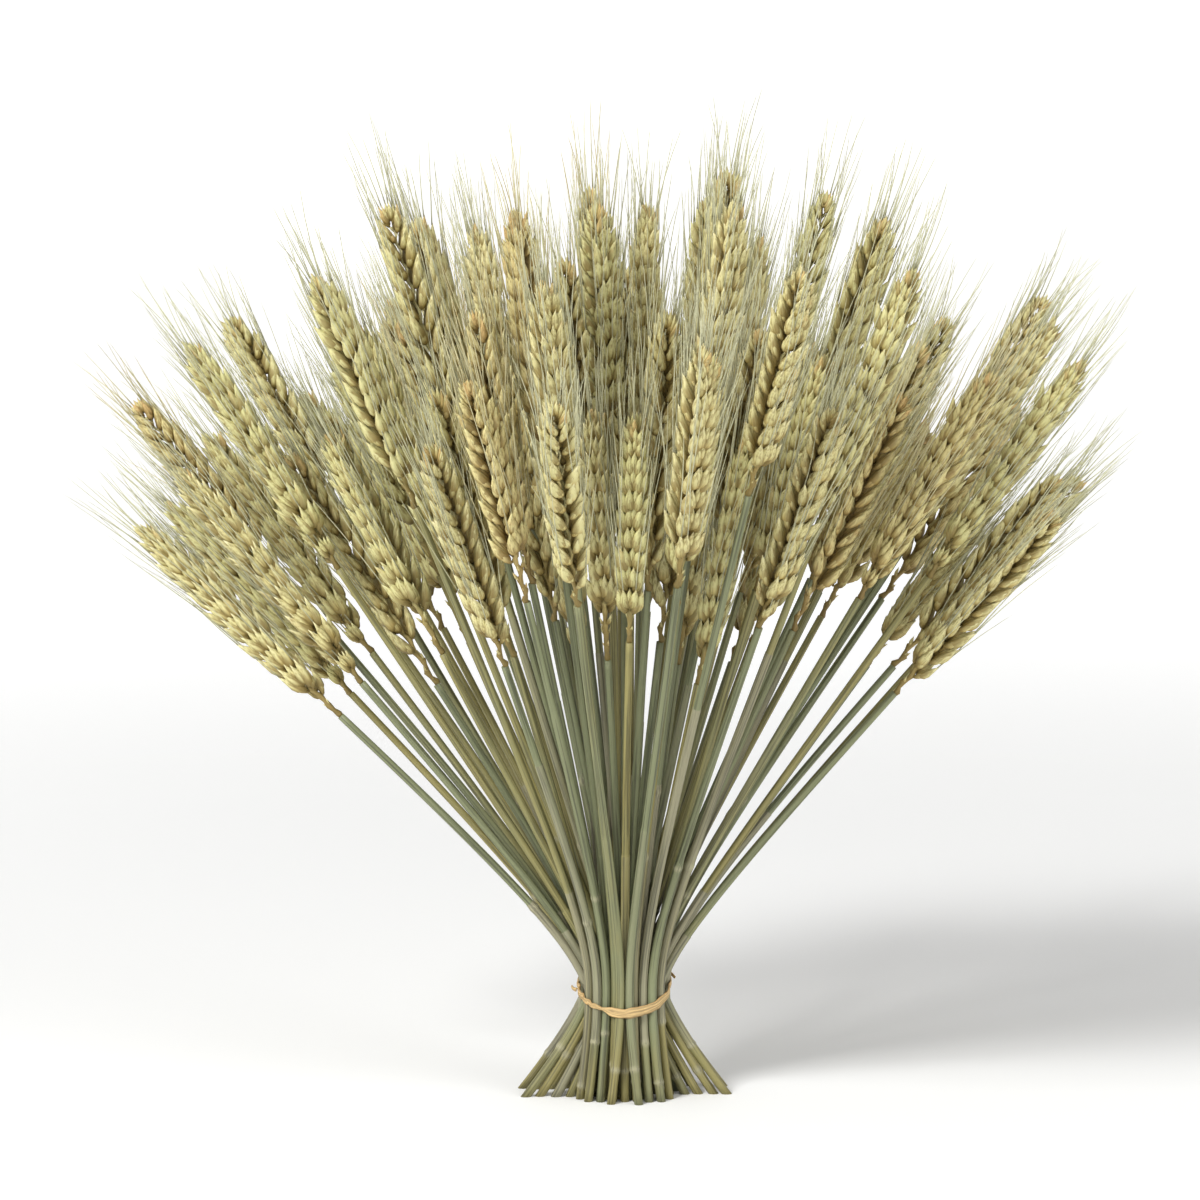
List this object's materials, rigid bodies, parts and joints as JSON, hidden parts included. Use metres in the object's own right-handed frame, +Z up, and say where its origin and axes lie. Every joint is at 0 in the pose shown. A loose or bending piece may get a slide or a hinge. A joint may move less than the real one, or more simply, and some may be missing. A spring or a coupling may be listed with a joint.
{
  "type": "dried wheat bundle",
  "caption": "Fan-shaped bunch of dried bearded wheat, tied round its waist with a raffia strip and standing on its splayed cut stems.",
  "frame": {"origin": "middle of the cut foot of the central stalk, on the surface that the bundle stands on", "axes": "+Z up along the central stalk, +X to the right of the broad front, +Y towards the back"},
  "size_m": [0.3912, 0.3321, 0.367],
  "materials": {
    "pale_straw": "matte dry plant fibre, pale yellow-green",
    "golden_straw": "matte dry plant fibre, golden tan",
    "raffia": "matte fibrous strip"
  },
  "bodies": {
    "root": {"stalk_01": "pale_straw", "stalk_02": "pale_straw", "stalk_03": "pale_straw", "stalk_04": "golden_straw", "stalk_05": "pale_straw", "stalk_06": "pale_straw", "stalk_07": "pale_straw", "stalk_08": "pale_straw", "stalk_09": "pale_straw", "stalk_10": "pale_straw", "stalk_11": "golden_straw", "stalk_12": "pale_straw", "stalk_13": "pale_straw", "stalk_14": "pale_straw", "stalk_15": "pale_straw", "stalk_16": "pale_straw", "stalk_17": "pale_straw", "stalk_18": "golden_straw", "stalk_19": "pale_straw", "stalk_20": "pale_straw", "stalk_21": "pale_straw", "stalk_22": "pale_straw", "stalk_23": "pale_straw", "stalk_24": "pale_straw", "stalk_25": "golden_straw", "stalk_26": "pale_straw", "stalk_27": "pale_straw", "stalk_28": "pale_straw", "stalk_29": "pale_straw", "stalk_30": "pale_straw", "stalk_31": "pale_straw", "stalk_32": "golden_straw", "stalk_33": "pale_straw", "stalk_34": "pale_straw", "stalk_35": "pale_straw", "stalk_36": "pale_straw", "stalk_37": "pale_straw", "stalk_38": "pale_straw", "stalk_39": "golden_straw", "stalk_40": "pale_straw", "stalk_41": "pale_straw", "stalk_42": "pale_straw", "stalk_43": "pale_straw", "stalk_44": "pale_straw", "stalk_45": "pale_straw", "stalk_46": "golden_straw", "stalk_47": "pale_straw", "stalk_48": "pale_straw", "stalk_49": "pale_straw", "stalk_50": "pale_straw", "stalk_51": "pale_straw", "stalk_52": "pale_straw", "stalk_53": "golden_straw", "stalk_54": "pale_straw", "stalk_55": "pale_straw", "band": "raffia"}
  },
  "joints": []
}
